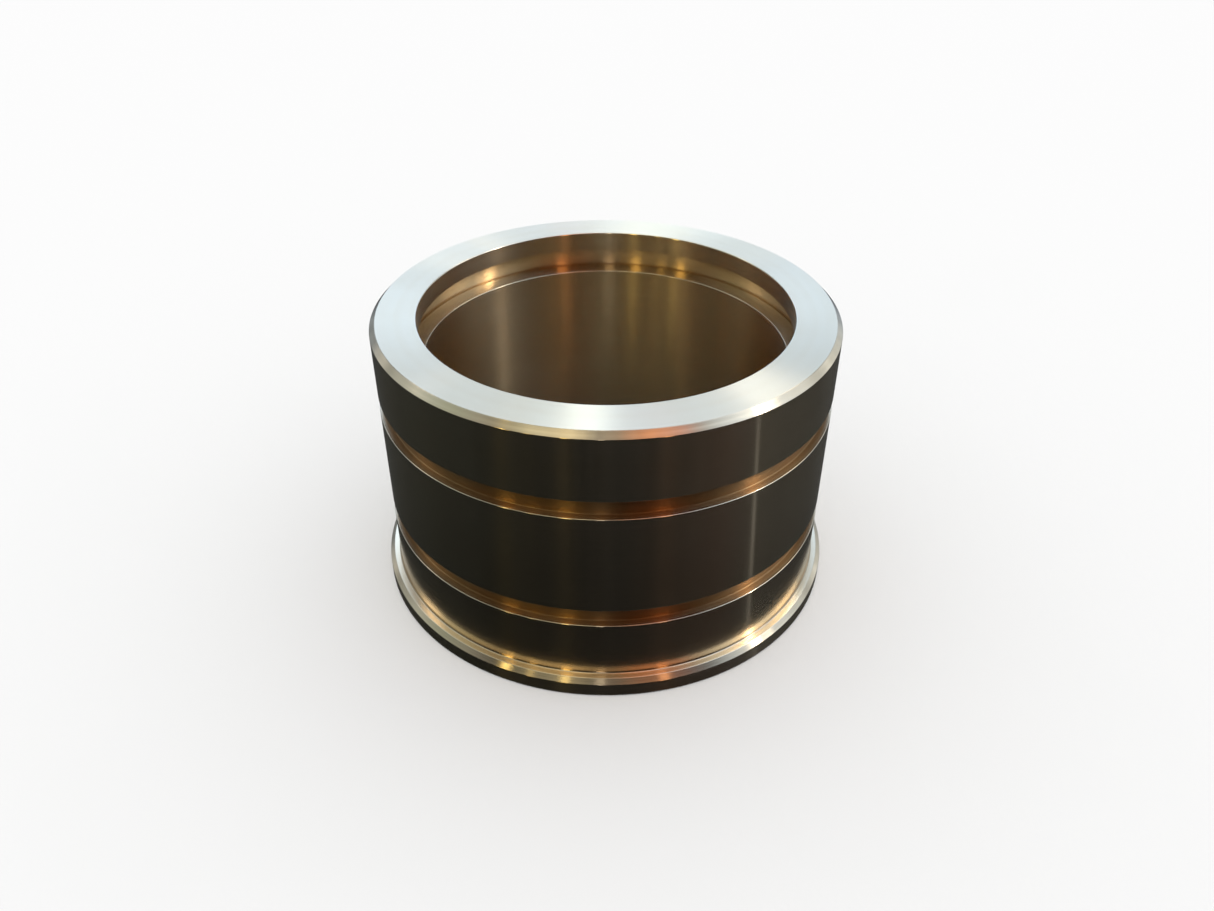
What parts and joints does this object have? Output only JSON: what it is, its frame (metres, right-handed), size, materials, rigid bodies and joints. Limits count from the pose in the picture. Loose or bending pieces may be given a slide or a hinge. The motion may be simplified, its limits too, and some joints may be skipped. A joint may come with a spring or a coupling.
{
  "type": "flanged sleeve bushing",
  "caption": "Turned bronze sleeve bushing with a narrow end flange, outer ring grooves, a pressed-in bearing liner and an internal seal recess under an end lip.",
  "frame": {"origin": "on the bushing's axis at the outer face of the flange, which is the face it stands on", "axes": "+Z along the bore axis from the flange towards the plain end; X and Y are any square pair, as the part is round"},
  "size_m": [0.126, 0.126, 0.076],
  "materials": {
    "shell_bronze": "fine turned bronze",
    "liner_bronze": "fine bored bronze"
  },
  "bodies": {
    "root": {"flanged_shell": "shell_bronze", "bore_liner": "liner_bronze"}
  },
  "joints": []
}
